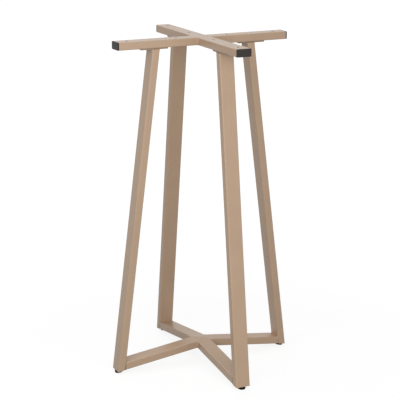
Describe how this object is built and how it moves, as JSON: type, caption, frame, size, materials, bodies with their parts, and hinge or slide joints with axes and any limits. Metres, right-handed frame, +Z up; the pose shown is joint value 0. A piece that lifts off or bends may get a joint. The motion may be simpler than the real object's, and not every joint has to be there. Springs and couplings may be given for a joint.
{
  "type": "bar table base",
  "caption": "Bar-height table base of powder-coated rectangular tube: a flat top cross with capped ends, legs that lean in, and a lower cross rising to the centre, on round glides.",
  "frame": {"origin": "on the floor at the centre of the base, under the crossing of the bars", "axes": "+Z up; Y along the through bar of the top cross, with the front of the base facing -Y; X along the half bars, +X to the right"},
  "size_m": [0.6312, 0.6312, 1.1],
  "materials": {
    "powder_coat": "matt fine-texture powder coat, warm sand taupe",
    "cap_plastic": "moulded charcoal plastic, satin",
    "glide_plastic": "moulded black plastic",
    "zinc_steel": "bright zinc plate"
  },
  "bodies": {
    "root": {"bottom_bar_back": "powder_coat", "bottom_bar_front": "powder_coat", "bottom_bar_left": "powder_coat", "bottom_bar_right": "powder_coat", "bottom_cross_welds": "powder_coat", "end_cap_back": "cap_plastic", "end_cap_front": "cap_plastic", "end_cap_left": "cap_plastic", "end_cap_right": "cap_plastic", "glide_back": "glide_plastic", "glide_front": "glide_plastic", "glide_left": "glide_plastic", "glide_right": "glide_plastic", "leg_back": "powder_coat", "leg_end_plate_back": "powder_coat", "leg_end_plate_front": "powder_coat", "leg_end_plate_left": "powder_coat", "leg_end_plate_right": "powder_coat", "leg_front": "powder_coat", "leg_left": "powder_coat", "leg_plate_back": "powder_coat", "leg_plate_front": "powder_coat", "leg_plate_left": "powder_coat", "leg_plate_right": "powder_coat", "leg_plate_welds": "powder_coat", "leg_right": "powder_coat", "plate_screws": "zinc_steel", "rivet_nuts": "zinc_steel", "top_bar_left": "powder_coat", "top_bar_long": "powder_coat", "top_bar_right": "powder_coat", "top_cross_welds": "powder_coat"}
  },
  "joints": []
}
